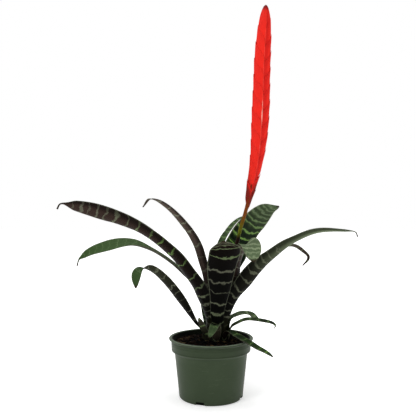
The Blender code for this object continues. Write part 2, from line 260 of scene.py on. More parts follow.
leaves = {
    "leaf_left_long": dict(
        ring=1, sheath=(232, 41), width=42, fold=48, roll=(20, 50), blunt=7, hook=0.97,
        ruddy=(0.0, 0.2, 0.8, 1.0, 1.0), scalesAndSheen=(0.0, 0.0, 0.02, 0.06, 0.1), marginShade=1,
        lime=(0.0, 0.0, 0.7, 1.0, 0.2, 0.0, 0.0), line=2.1,
        lines=(18, 31, 44, 57, 70, 84, 102, 123, 153, 181, 208, 230, 256, 277, 298, 316, 330, 346, 358, 371),
        route=[(-18, -19, 188), (-43, -18, 228), (-69, -22, 260), (-124, -34, 303), (-191, -54, 332),
               (-242, -69, 346), (-254, -73, 347), (-259, -74, 338)]),
    "leaf_left_middle": dict(
        ring=1, sheath=(165, 26), width=32, fold=36, roll=(10, -48), twist=(0.5, 0.8), blunt=9, hook=0.975,
        ruddy=(0.1, 0.2, 0.4, 0.2, 0.1), scalesAndSheen=(0.0, 0.0, 0.3, 0.2, 0.02), lime=(0.1, 0.1, 0.1), line=0.7,
        route=[(-27, 12, 193), (-51, 17, 221), (-80, 24, 245), (-114, 33, 264), (-152, 42, 274),
               (-216, 58, 262), (-252, 67, 243), (-258, 69, 228)]),
    "leaf_left_low": dict(
        ring=0, sheath=(200, 22), width=28, roll=(22, -62), twist=(0.78, 0.95), blunt=9,
        ruddy=(0.0, 0.1, 0.3), scalesAndSheen=(0.0, 0.0, 0.02, 0.14, 0.1), lime=(0.0, 0.0, 0.1), line=1.1,
        lines=(40, 60, 79, 102, 118, 131, 157, 174, 190, 205),
        route=[(-29, -11, 136), (-49, -20, 170), (-70, -30, 201), (-90, -39, 224), (-107, -46, 236),
               (-120, -52, 236), (-128, -56, 225), (-129, -57, 203)]),
    "leaf_left_upright": dict(
        ring=2, sheath=(140, 20), width=33, fold=45, roll=(1, 0), blunt=4, turned=True, marginShade=-1,
        ruddy=(0.3, 1.0, 1.0, 0.9), scalesAndSheen=(0.0, 0.1, 0.45, 0.55, 0.3), lime=(0.0, 0.0, 0.3, 0.1), line=2.6,
        lines=(60, 92, 119, 145, 167, 199, 220, 241, 265, 290, 310),
        route=[(-9, 15, 213), (-17, 20, 242), (-28, 27, 275), (-46, 38, 303), (-81, 60, 340),
               (-117, 84, 358), (-134, 95, 342)]),
    "leaf_right_long": dict(
        ring=2, sheath=(322, 36), width=41, full=0.35, fold=48, roll=(-55, -14), twist=(0.22, 0.7),
        blunt=5, hook=0.975, marginShade=-1, line=2.0, sag=6,
        ruddy=(0.0, 0.1, 0.1, 0.0), scalesAndSheen=(0.0, 0.0, 0.04, 0.55, 0.9, 0.8), lime=(0.0, 0.1, 0.0),
        lines=(30, 45, 58, 72, 87, 101, 123, 141, 155, 169, 182, 200),
        route=[(41, -15, 180), (58, -18, 205), (78, -22, 231), (108, -28, 258), (141, -35, 282),
               (184, -49, 300), (236, -63, 301), (245, -65, 299), (248, -66, 291)]),
    "leaf_right_curl": dict(
        ring=1, sheath=(52, 14), width=17, fold=45, roll=(-25, -25),
        ruddy=(0.3, 0.5, 0.9), scalesAndSheen=(0.0, 0.2, 0.4, 0.0),
        route=[(40, 25, 180), (64, 31, 212), (90, 40, 236), (116, 52, 257), (157, 70, 268),
               (185, 82, 252), (191, 85, 242), (179, 80, 228)]),
    "leaf_front": dict(
        ring=1, sheath=(270, 22), width=62, full=0.7, tipFold=-34, blunt=6,
        ruddy=(0.0, 0.0, 0.0, 0.1, 1.0), scalesAndSheen=(0.0, 0.0, 0.0, 0.0, 0.0, 0.05),
        lime=(0.7, 0.3, 0.1, 0.0, 0.0, 0.6, 0.1, 0.0), line=2.2,
        lines=(36, 55, 75, 96, 115, 137, 168, 192, 204, 214, 222, 230, 238),
        route=[(11, -27, 156), (15, -36, 193), (18, -45, 233), (23, -62, 259), (23, -90, 277),
               (19, -132, 287)]),
    "leaf_front_drooping": dict(
        ring=3, sheath=(300, 26), width=44, full=0.9, fold=35, roll=(-28, 16), twist=(0.45, 0.65), blunt=20,
        ruddy=(1.0, 1.0, 0.5), scalesAndSheen=(0.0, 0.0, 0.0, 0.0, 0.8, 0.8), lime=(0.0, 0.0, 0.2),
        spacing=(18, 16, 6),
        route=[(27, -14, 190), (40, -19, 225), (50, -23, 253), (56, -28, 270), (62, -36, 279),
               (67, -47, 275), (70, -55, 263), (73, -59, 248)]),
    "leaf_back": dict(
        ring=2, sheath=(60, 24), width=54, fold=38, roll=(34, 34), blunt=8, ripple=2.6,
        ruddy=(1.0, 1.0, 1.0, 1.0, 0.8, 0.5), scalesAndSheen=(0.0, 0.0, 0.0, 0.02, 0.2, 0.4),
        lime=(0.5, 0.6, 1.0, 1.0, 0.6, 0.0, 0.0), line=2.3, sag=5,
        lines=(40, 65, 90, 182, 199, 217, 235, 249, 263, 275, 287, 299),
        route=[(33, 23, 215), (43, 40, 253), (56, 55, 276), (69, 68, 295), (84, 82, 312),
               (101, 98, 329), (116, 110, 339), (138, 125, 343)]),
    "leaf_back_left": dict(
        ring=1, sheath=(100, 13), width=18,
        ruddy=(0.6, 0.5, 0.4), scalesAndSheen=(0.1, 0.1, 0.2, 0.2), lime=(0.2, 0.3, 0.3),
        route=[(3, 36, 165), (5, 50, 215), (14, 62, 255), (24, 74, 281), (35, 88, 297), (46, 104, 310),
               (60, 122, 320), (76, 138, 325)]),
    "leaf_right_low_upper": dict(
        ring=0, sheath=(21, 11), width=20, full=0.9, fold=25, roll=(10, 52), twist=(0.75, 0.9), blunt=7,
        ruddy=(0.6, 0.6, 0.6), scalesAndSheen=(0.1, 0.5, 0.5),
        route=[(34, 4, 138), (48, 9, 146), (61, 14, 148), (72, 18, 145), (90, 24, 133)]),
    "leaf_right_low_lower": dict(
        ring=0, sheath=(349, 12), width=12, roll=(14, 20), blunt=12,
        ruddy=(0.7, 0.6, 1.0), scalesAndSheen=(0.1, 0.4, 0.2, 0.0),
        route=[(36, -3, 125), (48, -6, 134), (61, -9, 140), (75, -12, 141), (105, -18, 137),
               (114, -20, 132), (112, -19, 126)]),
    "leaf_right_over_rim": dict(
        ring=0, sheath=(308, 11), width=21, fold=28, blunt=8,
        ruddy=(0.8, 0.7, 0.2), scalesAndSheen=(0.0, 0.0, 0.05), lime=(0.2, 0.3, 1.0), line=1.2,
        route=[(30, -17, 121), (44, -32, 117), (56, -45, 112), (64, -52, 109), (78, -60, 102),
               (92, -66, 96), (104, -70, 89)]),
    "leaf_front_small": dict(
        ring=0, sheath=(266, 14), width=21,
        ruddy=(0.6, 0.6, 0.3), scalesAndSheen=(0.1, 0.2, 0.3), lime=(0.3, 0.3, 0.3), line=0.7,
        route=[(8, -27, 134), (5, -34, 131), (0, -41, 122), (-4, -44, 115)]),
    "leaf_left_small": dict(
        ring=0, sheath=(236, 18), width=23, blunt=7,
        ruddy=(0.2, 0.2, 0.4), scalesAndSheen=(0.0, 0.1, 0.2), lime=(0.6, 0.6, 0.6),
        route=[(-14, -23, 125), (-21, -28, 147)]),
    "leaf_rear_right": dict(
        ring=0, sheath=(66, 24), width=34,
        ruddy=(1.0, 1.0, 0.8, 0.6), lime=(0.0, 0.2, 0.5),
        route=[(16, 60, 160), (19, 110, 188), (22, 165, 186), (24, 215, 160)]),
    "leaf_rear_left": dict(
        ring=0, sheath=(128, 24), width=30,
        ruddy=(1.0, 1.0, 0.8, 0.6), lime=(0.0, 0.1, 0.3), line=1.2,
        route=[(-6, 55, 142), (-10, 100, 164), (-14, 150, 162), (-16, 190, 138)]),
}
# How every leaf is made: the pairs are shares of its length, or of its half width for thinEdge.
leafMake = dict(columns=16, rowLength=3.6, thickness=1.5, marginShare=0.3, tipWidth=2.2,
                widens=0.12, taper=0.8, hookNeck=0.06, hookThins=0.8,
                leavesSheath=(0.08, 0.5), rolls=(0.1, 0.45), opens=(0.1, 0.35), tipFolds=(0.6, 0.92),
                thinEdge=(0.72, 1), thickTip=(0.9, 0.97), rippleLength=34, rippleAcross=1.3, pastTip=12)


def leafWidth(leaf, share):
    sheath = leaf["sheath"][1]
    broad = sheath + (leaf["width"] - sheath) * ramp(leafMake["widens"], leaf["full"], share)
    taper = max(1 - share ** leaf["blunt"], 0) ** leafMake["taper"]
    if leaf["hook"]:
        taper *= 1 - leafMake["hookThins"] * ramp(leaf["hook"] - leafMake["hookNeck"], leaf["hook"], share)
    return max(broad * taper, leafMake["tipWidth"])


def leafRoute(leaf):
    azimuth = radians(leaf["sheath"][0])
    radius = rosette["ringRadii"][leaf["ring"]]
    level = rosette["ringLevels"][leaf["ring"]]
    foot = Vector((radius * cos(azimuth), radius * sin(azimuth), 0))
    heights = (level, level + rosette["sheathRise"])
    return Path([*[rosetteFrame() @ (foot + Vector((0, 0, height))) for height in heights], *leaf["route"]])


def leafPoint(leaf, path, across, share):
    # across runs from -1 to 1 between the margins. Gives the point and the half width there.
    centre = path.place(share)
    forward = path.tangent(share)
    azimuth = radians(leaf["sheath"][0])
    sheathSide = rosetteFrame().to_3x3() @ Vector((-sin(azimuth), cos(azimuth), 0))
    heading = (path.place(1) - path.place(0)).xy.normalized()
    side = sheathSide.lerp(Vector((-heading.y, heading.x, 0)), ramp(*leafMake["leavesSheath"], share))
    side = (side - forward * side.dot(forward)).normalized()
    middleRoll, tipRoll = leaf["roll"]
    roll = middleRoll * ramp(*leafMake["rolls"], share)
    roll += (tipRoll - middleRoll) * ramp(*leaf["twist"], share)
    side = Matrix.Rotation(radians(roll), 3, forward) @ side
    inner = forward.cross(side)
    reach = axisDistance(centre)
    width = min(leafWidth(leaf, share), rosette["sheathSpread"] * reach)
    opening = ramp(*leafMake["opens"], share)
    fold = radians(blendOf(leaf["fold"], leaf["tipFold"], ramp(*leafMake["tipFolds"], share)) or 1)
    radius = reach + (width / (2 * fold) - reach) * opening
    half = width / (2 * radius)
    rise = (1 - cos(across * half)) - opening * (1 - cos(half)) / 2
    wavePlace = (across * leafMake["rippleAcross"], share * path.length / leafMake["rippleLength"],
                 leaf["ring"] + azimuth * 5)
    lift = leaf["ripple"] * noise.noise(Vector(wavePlace)) * opening * (0.4 + abs(across))
    return centre + side * radius * sin(across * half) + inner * (radius * rise + lift), width / 2


def lineCount(leaf, length, distance):
    # Counts the cross lines up to a distance, as a number that runs evenly between two of them,
    # and gives the length of one step there. Leaves without a list differ in their first count.
    if leaf["lines"]:
        marks = [0, *leaf["lines"], length + leafMake["pastTip"]]
        step = max(i for i, mark in enumerate(marks[:-1]) if mark <= max(distance, 0))
        span = marks[step + 1] - marks[step]
        return step + (distance - marks[step]) / span, span
    span = along(leaf["spacing"], distance / length)
    mean = sum(along(leaf["spacing"], distance / length * part / 8) for part in range(9)) / 9
    return distance / mean + leaf["sheath"][0] / 57, span


def makeLeaf(name, leaf, paints):
    path = leafRoute(leaf)
    rows = round(path.length / leafMake["rowLength"])
    bm = bmesh.new()
    bmesh.ops.create_grid(bm, x_segments=leafMake["columns"], y_segments=rows, size=1)
    flat = bm.verts.layers.float_vector.new("flat")
    line = bm.verts.layers.float_vector.new("line")
    tone = bm.verts.layers.float_vector.new("tone")
    habit = bm.verts.layers.float_vector.new("habit")
    marginShade = bm.verts.layers.float.new("marginShade")
    blade = bm.verts.layers.deform.verify()
    for vert in bm.verts:
        across, share = vert.co.x, (vert.co.y + 1) / 2
        distance = share * path.length
        place, half = leafPoint(leaf, path, across, share)
        count, span = lineCount(leaf, path.length, distance)
        vert.co = place
        vert[flat] = (across * half, distance, leaf["sheath"][0])
        vert[line] = (count, span, across)
        vert[tone] = (along(leaf["ruddy"], share), along(leaf["scalesAndSheen"], share), along(leaf["lime"], share))
        vert[habit] = (leaf["line"], leaf["sag"], share)
        vert[marginShade] = across * leaf["marginShade"]
        vert[blade][0] = max(1 - ramp(*leafMake["thinEdge"], abs(across)), ramp(*leafMake["thickTip"], share))
    if leaf["turned"]:
        paints = [paints[0], paints[0]]
    made = newPiece(name, bm, paints, [name])
    made.vertex_groups.new(name="blade")
    solid = thicken(made, leafMake["thickness"], 0)
    solid.vertex_group = "blade"
    solid.thickness_vertex_group = leafMake["marginShare"]
    solid.material_offset = 1


# Leaf paints. Both sides read the same attributes: flat is the place on the leaf laid flat, line counts
# the cross lines, tone is ruddy, scale coat with painted sheen, and lime, and habit is line width, sag
# and share. The single numbers are noise scales, millimetres of stray, and gloss. The pairs are soft limits:
# lineEdge in breadths of a line, awayFromLine in steps between two, the painted margin highlight in half
# widths.
leafSkin = dict(
    under=dict(black=colour(5, 5, 4), brown=colour(48, 33, 28), sheen=colour(98, 112, 82),
               ruddyGroundAndSheen=colour(104, 90, 82), pale=colour(150, 152, 134), greyLine=colour(100, 102, 86),
               limeLine=colour(94, 124, 64), marginHighlight=colour(92, 96, 78)),
    upper=dict(dark=colour(10, 22, 12), green=colour(54, 78, 36), sheen=colour(113, 138, 101),
               ruddyGroundAndSheen=colour(104, 112, 88), pale=colour(138, 150, 118), greyLine=colour(98, 114, 86),
               limeLine=colour(118, 160, 68), marginHighlight=colour(112, 118, 92)),
    tip=colour(44, 34, 24), base=colour(58, 60, 34),
    wander=0.085, blotches=0.14, fibres=0.55, fibreStretch=0.06, grain=1.3, stray=15, fray=3.5,
    lineEdge=(0.4, 1.2), lineFoot=(0.04, 0.1), rustFoot=(0.1, 0.35), awayFromLine=(0.1, 0.4),
    darkFoot=(0.12, 0.4), marginShade=(0.2, 0.75), paleLinesInSheen=(0.2, 0.8), marginHighlight=(0.9, 0.97),
    marginFoot=(0.15, 0.35), tipStart=(0.97, 0.995), baseEnd=(0.0, 0.16),
    roughness=0.4, uneven=0.16, specular=0.02)


def leafPaint(side):
    skin = leafSkin
    tints = skin[side]
    paint = Paint("leaf" + side.title())
    flat = paint.read("flat", 1)
    count, span, across = paint.parts(paint.read("line", 1))
    ruddy, scalesAndSheen, lime = paint.parts(paint.read("tone", 1))
    weight, sag, share = paint.parts(paint.read("habit", 1))
    wander = paint.noise(flat, skin["wander"], 2.0, 0.5) - 0.5
    fibres = paint.noise(paint.stretched(flat, (1.0, skin["fibreStretch"], 1)), skin["fibres"], 3.0, 0.7)
    blotches = paint.noise(flat, skin["blotches"], 3.0, 0.6)
    grain = paint.noise(flat, skin["grain"], 2.0, 0.6)
    shift = wander * skin["stray"] - (1 - across * across) * sag + (fibres - 0.5) * skin["fray"]
    counted = count - shift / span
    rounded = paint.maths("ROUND", counted)
    gap = paint.maths("ABSOLUTE", counted - rounded) * span
    luck = paint.node("ShaderNodeTexWhiteNoise", {"noise_dimensions": "1D"}, {"W": rounded})
    breadth = weight * (0.6 + 0.6 * luck) * (0.5 + blotches)
    solid, clear = skin["lineEdge"]
    mark = (1 - paint.step(gap, breadth * solid, breadth * clear)) * paint.step(share, *skin["lineFoot"])
    # Colour of the painted sheen: greener on green leaves, browner on ruddy ones.
    sheen = paint.mix(ruddy, tints["sheen"], tints["ruddyGroundAndSheen"])
    if side == "under":
        ruddyGroundAndSheen = ruddy * (0.6 + 0.8 * blotches) * paint.step(share, *skin["rustFoot"])
        ground = paint.mix(ruddyGroundAndSheen, tints["black"], tints["brown"])
        ground = paint.mix(grain * 0.7, ground, tints["black"])
        # Grey scale coat together with painted sheen where the leaf faces up.
        ground = paint.mix(scalesAndSheen * (0.2 + 1.4 * fibres), ground, sheen)
        marked = mark * (0.36 + 0.25 * luck + 0.45 * lime) * (0.6 + 0.8 * fibres)
    else:
        near, far = skin["awayFromLine"]
        away = paint.step(gap, span * near, span * far)
        dark = ruddy * (0.55 + 0.5 * away) * (0.7 + 0.6 * blotches)
        ground = paint.mix(dark, tints["green"], tints["dark"])
        ground = paint.mix(grain * 0.4, ground, tints["dark"])
        ground = paint.mix((1 - paint.step(share, *skin["darkFoot"])) * 0.85, ground, tints["dark"])
        # Grey scale coat together with painted sheen where the leaf faces up.
        ground = paint.mix(scalesAndSheen * (0.4 + 1.2 * fibres) * (1 - 0.5 * away * ruddy), ground, sheen)
        marked = mark * (0.45 + 0.25 * luck + 0.4 * lime) * (0.6 + 0.8 * fibres)
    # Painted shade darkens the side of one margin.
    marginShade = paint.step(paint.read("marginShade") + (fibres - 0.5) * 0.4, *skin["marginShade"])
    ground = paint.mix(marginShade * 0.7, ground, skin["under"]["black"])
    shade = paint.mix(lime, tints["greyLine"], tints["limeLine"])
    # The cross lines turn pale under the painted sheen.
    shade = paint.mix(paint.step(scalesAndSheen, *skin["paleLinesInSheen"]), shade, tints["pale"])
    body = paint.mix(marked * (1 - 0.6 * marginShade), ground, shade)
    # A painted highlight along the leaf's margins.
    marginHighlight = paint.step(paint.maths("ABSOLUTE", across), *skin["marginHighlight"])
    marginHighlight = marginHighlight * paint.step(share, *skin["marginFoot"])
    body = paint.mix(marginHighlight * 0.6, body, tints["marginHighlight"])
    body = paint.mix(paint.step(share, *skin["tipStart"]), body, skin["tip"])
    body = paint.mix((1 - paint.step(share, *skin["baseEnd"])) * 0.35, body, skin["base"])
    relief = fibres * 0.6 + blotches * 0.4 + mark * 0.25
    return paint.finish({
        "Base Color": body,
        "Roughness": skin["roughness"] + skin["uneven"] * blotches,
        "Specular IOR Level": skin["specular"],
        "Normal": paint.bump(relief, 0.3, 0.5)})


# The pot: a turned shell with a rolled lip, a band with faint ridges and a tapered body. Names that
# end in Round are radii, a notch has its width, depth and height, and a crease its height, how dark
# its shadow is and how far that fades.
pot = dict(height=107, wall=1.8, lip=76, band=72, bandFoot=84, bodyTop=65.5, bodyFoot=57, floorLift=0.4,
           floorRound=3.6, innerRound=1.2, lipRound=1.5, bandRound=1.4, footRound=4, bodySteps=6, turns=144,
           notchCount=4, notchTurn=-20, notch=(16, 12, 6.5), notchRound=2.4, sharpAngle=40,
           ridges=(98.6, 95.4), ridge=0.22, bandDraft=0.03,
           creases=((103.4, 0.7, 1.5), (97, 0.2, 0.8), (86.8, 0.6, 1.0), (82.6, 0.5, 1.4)))


def arc(centre, radius, start, end, steps=5):
    # Points of a round stretch in the profile's plane, by angles in degrees from outwards.
    angles = [radians(start + (end - start) * step / steps) for step in range(steps + 1)]
    return [(centre[0] + radius * cos(angle), centre[1] + radius * sin(angle)) for angle in angles]


def potProfile():
    top, wall, band, bandFoot = pot["height"], pot["wall"], pot["band"], pot["bandFoot"]
    bodyTop, bodyFoot = pot["bodyTop"], pot["bodyFoot"]
    inner = band - wall
    floorTop = wall + pot["floorLift"]
    rounds = ("floorRound", "innerRound", "lipRound", "bandRound", "footRound")
    corner, rim, lip, fillet, foot = (pot[name] for name in rounds)
    profile = [(0, floorTop), (bodyFoot - wall - 4, floorTop)]
    profile += arc((bodyFoot - wall - 3.2, floorTop + corner), corner, -80, 0)
    profile += [(bodyTop - wall, bandFoot - 6), (inner - 0.6, bandFoot + 0.5), (inner, top - 3)]
    profile += arc((inner + rim, top - rim), rim, 180, 90, 4)
    profile += arc((pot["lip"] - lip, top - lip), lip, 90, -80, 8)
    profile += arc((band + fillet, top - 5.4), fillet, 100, 180, 4)
    for height in pot["ridges"]:
        radius = band - (top - height) * pot["bandDraft"]
        for side, level in ((0, 0.9), (1, 0.4), (1, -0.4), (0, -0.9)):
            profile.append((radius + side * pot["ridge"], height + level))
    profile += [(band - 0.6, bandFoot + 3)]
    profile += arc((band - 2, bandFoot + fillet), fillet, 0, -70, 4)
    profile += [(bodyTop + 1.2, bandFoot - 2.2), (bodyTop + 0.1, bandFoot - 4.4)]
    for step in range(1, pot["bodySteps"]):
        share = step / pot["bodySteps"]
        profile.append((blendOf(bodyTop, bodyFoot + 0.6, share), blendOf(bandFoot - 5, 6, share)))
    profile += arc((bodyFoot - 3.4, foot), foot, 0, -90, 6)
    return [*profile, (0, 0)]


def notchCutter(index):
    width, depth, height = pot["notch"]
    turn = radians(pot["notchTurn"]) + 2 * pi * index / pot["notchCount"]
    tool = bmesh.new()
    bmesh.ops.create_cube(tool, size=1)
    bmesh.ops.scale(tool, vec=(depth, width, 2 * height), verts=tool.verts)
    upper = []
    for edge in tool.edges:
        first, second = edge.verts
        if abs(first.co.y - second.co.y) < 0.1 and abs(first.co.z - second.co.z) < 0.1 and first.co.z > 0:
            upper.append(edge)
    bmesh.ops.bevel(tool, geom=upper, offset=pot["notchRound"], segments=4, profile=0.5, affect="EDGES",
                    material=-1)
    bmesh.ops.translate(tool, vec=(pot["bodyFoot"] + 1, 0, 0), verts=tool.verts)
    bmesh.ops.rotate(tool, matrix=Matrix.Rotation(turn, 3, "Z"), verts=tool.verts)
    bmesh.ops.scale(tool, vec=(mm, mm, mm), verts=tool.verts)
    mesh = bpy.data.meshes.new("notch")
    tool.to_mesh(mesh)
    tool.free()
    cutter = bpy.data.objects.new(f"notch{index}", mesh)
    bpy.context.scene.collection.objects.link(cutter)
    return cutter


def makePot():
    made = newPiece("potShell", spun(potProfile(), pot["turns"]), [potPaint()], ["pot"])
    cutters = [notchCutter(index) for index in range(pot["notchCount"])]
    for cutter in cutters:
        cut = made.modifiers.new("Notch", "BOOLEAN")
        cut.operation = "DIFFERENCE"
        cut.object = cutter
        cut.solver = "EXACT"
    bpy.context.view_layer.update()
    depsgraph = bpy.context.evaluated_depsgraph_get()
    whole = bpy.data.meshes.new_from_object(made.evaluated_get(depsgraph))
    made.modifiers.clear()
    made.data = whole
    made.data.set_sharp_from_angle(angle=radians(pot["sharpAngle"]))
    for cutter in cutters:
        bpy.data.objects.remove(cutter, do_unlink=True)


# The pairs are soft limits in millimetres: the lip's painted highlight down from the top, those of the
# inner wall's painted shade and stain and of the belt up from the foot of the band, and those of the painted
# shade behind the notches in from the foot of the body and up from a notch's top.
potSkin = dict(
    dark=colour(49, 61, 42), light=colour(61, 73, 54), chalk=colour(108, 116, 98), lip=colour(112, 124, 104),
    crease=colour(18, 24, 14), inside=colour(10, 12, 8), notchShade=colour(8, 9, 6), foot=colour(30, 38, 24),
    belt=colour(26, 34, 20), cloud=16.0, scuffs=60.0, scuffStretch=6, grain=900.0,
    lipEdge=(1.6, 0.4), insideFoot=(6, 8), beltFoot=(1, 4), footEdge=(1, 6), hollowReach=(4.1, 3.6),
    hollowTop=(-0.1, 0.5), roughness=0.46, specular=0.08, sheen=0.12, sheenRoughness=0.4)


def potPaint():
    skin = potSkin
    paint = Paint("potPlastic")
    place = paint.objectPlace()
    height = paint.parts(place)[2]
    reach = paint.length(paint.stretched(place, (1, 1, 0)))
    cloud = paint.noise(place, skin["cloud"], 3.0, 0.5)
    scuffs = paint.noise(paint.stretched(place, (1, 1, skin["scuffStretch"])), skin["scuffs"], 3.0, 0.7)
    grain = paint.noise(place, skin["grain"], 2.0, 0.6)

    def rising(value, start, limits, way=1):
        # A soft step between two distances from a start, in millimetres.
        return paint.step(value, *[(start + way * limit) * mm for limit in limits])

    body = paint.mix(cloud, skin["dark"], skin["light"])
    chalk = paint.step(scuffs, 0.58, 0.8) * 0.18
    body = paint.mix(chalk, body, skin["chalk"])
    # Painted highlight along the top of the rolled lip.
    lip = rising(height, pot["height"], skin["lipEdge"], -1)
    body = paint.mix(lip * 0.6, body, skin["lip"])
    # Painted shade in dark lines under the lip, along the ridges and at the band's step.
    for level, depth, fade in pot["creases"]:
        near = 1 - paint.step(paint.maths("ABSOLUTE", height - level * mm), 0, fade * mm)
        body = paint.mix(near * depth, body, skin["crease"])
    # Painted shade on the inner wall below the lip, with some soil stain.
    inside = 1 - rising(reach, pot["band"], (pot["wall"], 1), -1)
    inside = inside * rising(height, pot["bandFoot"], skin["insideFoot"]) * (1 - lip)
    body = paint.mix(inside * 0.85, body, skin["inside"])
    # Painted shade in the hollow behind the notches.
    notchShade = 1 - rising(reach, pot["bodyFoot"], skin["hollowReach"], -1)
    notchShade = notchShade * (1 - rising(height, pot["notch"][2], skin["hollowTop"]))
    body = paint.mix(notchShade * 0.9, body, skin["notchShade"])
    body = paint.mix((1 - rising(height, 0, skin["footEdge"])) * 0.3, body, skin["foot"])
    belt = rising(height, pot["bandFoot"], skin["beltFoot"]) * (1 - lip)
    body = paint.mix(belt * 0.22, body, skin["belt"])
    return paint.finish({
        "Base Color": body,
        "Roughness": skin["roughness"] + cloud * 0.1 + chalk,
        "Specular IOR Level": skin["specular"],
        "Sheen Weight": skin["sheen"],
        "Sheen Roughness": skin["sheenRoughness"],
        "Normal": paint.bump(grain * 0.5 + scuffs * 0.5, 0.12, 0.2)})


# The soil: a lumpy bed of peat that rises to a mound. Lumps are noise scales with their weights.
soil = dict(edge=69.4, level=97, foot=5, mound=6, moundTop=20, turns=120, ringStep=1.6, lump=1.5,
            lumps=((0.09, 1), (0.21, 0.6), (0.55, 0.35)), calmEdge=6)


def soilHeight(x, y):
    reach = (x * x + y * y) ** 0.5
    place = Vector((x, y, 0))
    edge = soil["edge"]
    lump = sum(weight * noise.noise(place * scale) for scale, weight in soil["lumps"])
    crown = soil["mound"] * ramp(edge, soil["moundTop"], reach) if reach < edge else 0
    calm = 0.5 * ramp(edge - soil["calmEdge"], edge, reach)
    return soil["level"] + crown + soil["lump"] * lump * (1 - calm)


def makeSoil():
    edge, level, foot = soil["edge"], soil["level"], soil["foot"]
    rings = [edge - step * soil["ringStep"] for step in range(int(edge / soil["ringStep"]))]
    profile = [(0, level), *[(radius, level) for radius in reversed(rings)]]
    profile += [(edge - 0.6, 86), (pot["bodyTop"] - 3, 76), (pot["bodyFoot"] - 4, foot), (0, foot)]
    bm = spun(profile, soil["turns"])
    for vert in bm.verts:
        if vert.co.z > level - 1:
            vert.co.z = soilHeight(vert.co.x, vert.co.y)
    newPiece("soilBed", bm, [soilPaint()], ["soil"])


def soilPaint():
    paint = Paint("peat")
    place = paint.objectPlace()
    crumbs = paint.noise(place, 260.0, 4.0, 0.7)
    patches = paint.noise(place, 60.0, 2.0, 0.5)
    body = paint.mix(crumbs, colour(3, 2, 2), colour(20, 14, 9))
    body = paint.mix(paint.step(patches, 0.5, 0.8) * 0.5, body, colour(34, 18, 12))
    return paint.finish({
        "Base Color": body,
        "Roughness": 0.95,
        "Specular IOR Level": 0.03,
        "Normal": paint.bump(crumbs, 0.9, 1.6)})


# Loose bark chips lie on the soil, clear of the rosette and of the pot's wall. Corner, rough and
# rise are shares of a chip's own size.
bark = dict(count=620, seed=7, length=(3, 13), width=(2, 6.5), thick=(1.0, 2.6), spread=68, clear=26,
            wallShare=0.55, corner=0.3, rough=0.12, tilt=0.5, rise=0.25)


def makeBark():
    chance = random.Random(bark["seed"])
    middle = rosette["foot"].xy + Vector((2, 0))
    spread, rough, tilt = bark["spread"], bark["rough"], bark["tilt"]
    chips = bmesh.new()
    tint = chips.verts.layers.float.new("tint")
    made = 0
    while made < bark["count"]:
        x, y = chance.uniform(-spread, spread), chance.uniform(-spread, spread)
        size = [chance.uniform(*bark[key]) for key in ("length", "width", "thick")]
        crowded = (Vector((x, y)) - middle).length < bark["clear"]
        if crowded or (x * x + y * y) ** 0.5 > soil["edge"] - size[0] * bark["wallShare"]:
            continue
        made += 1
        cube = bmesh.ops.create_cube(chips, size=1)["verts"]
        bmesh.ops.scale(chips, vec=size, verts=cube)
        edges = {edge for vert in cube for edge in vert.link_edges}
        corners = bmesh.ops.bevel(chips, geom=list(edges), offset=min(size) * bark["corner"], segments=1,
                                  profile=0.5, affect="EDGES", material=-1)["verts"]
        own = chance.random()
        for vert in corners:
            vert.co += Vector([chance.uniform(-rough, rough) * part for part in size])
            vert[tint] = own
        tipped = Matrix.Rotation(chance.uniform(-tilt, tilt), 3, "X")
        tipped = tipped @ Matrix.Rotation(chance.uniform(-tilt, tilt), 3, "Y")
        bmesh.ops.rotate(chips, matrix=Matrix.Rotation(chance.uniform(0, pi), 3, "Z") @ tipped, verts=corners)
        bmesh.ops.translate(chips, vec=(x, y, soilHeight(x, y) + size[2] * bark["rise"]), verts=corners)
    newPiece("barkChips", chips, [barkPaint()], (), smooth=False)


def barkPaint():
    paint = Paint("bark")
    tint = paint.read("tint")
    grain = paint.noise(paint.objectPlace(), 420.0, 3.0, 0.7)
    body = paint.mix(paint.step(tint, 0.4, 0.85), colour(3, 3, 2), colour(40, 25, 16))
    body = paint.mix(paint.step(tint, 0.88, 0.98), body, colour(104, 86, 58))
    body = paint.mix(grain * 0.8, body, colour(4, 3, 2))
    return paint.finish({
        "Base Color": body,
        "Roughness": 0.85,
        "Specular IOR Level": 0.05,
        "Normal": paint.bump(grain, 0.7, 0.8)})


# The stalk and the flat spike stand on one line, with their bracts in two ranks: the lowest ones
# clasp the stalk. Half widths are read upwards from the height where the bracts begin. Start,
# overlap and thins are shares of the whole line, socket and neck heights on the stem.
flower = dict(
    stalk=[(31, 3, 207), (53, 5, 300), (63.5, 5, 336), (70.4, 5, 365), (79.9, 5, 409)],
    spike=[(85, 5, 442), (88, 5, 474), (91, 5, 529), (93.7, 5, 609), (96.9, 5, 660), (99.9, 5, 709)],
    socket=22, neck=38, start=0.44, overlap=0.03, stalkRadius=4.4, thinning=1.1, thins=(0.15, 0.34),
    sides=20, rows=110, coreShare=0.7, coreHalf=1.6,
    heights=(335, 709), step=14.5, stalkBracts=3, spikeBracts=22, stalkBract=50, spikeBract=66,
    lastBract=30, sweepEnds=(0.72, 0.9),
    halfWidths=(3.6, 6.2, 8.6, 10.2, 11.5, 13, 14.3, 15.2, 15.5, 15.5, 15, 14.6, 14.6, 14.2, 13.5,
                12.3, 11.2, 9))


def flowerPath():
    roots = [rosetteFrame() @ Vector((0, 0, flower[height])) for height in ("socket", "neck")]
    return Path([*roots, *flower["stalk"], *flower["spike"]])


def crossWays(path, where):
    # The spike's flat way and its thin way at a share of the line.
    thin = Vector((0, 1, 0))
    return thin.cross(path.tangent(where)).normalized(), thin


def flowerHalf(height):
    low, high = flower["heights"]
    share = min((height - low) / (high - low), 1)
    return along(flower["halfWidths"], share) * max(1 - max(share, 0) ** 20, 0) ** 0.5


def newFlowerMesh():
    bm = bmesh.new()
    return bm, bm.verts.layers.float_vector.new("bract"), bm.verts.layers.float.new("rank")


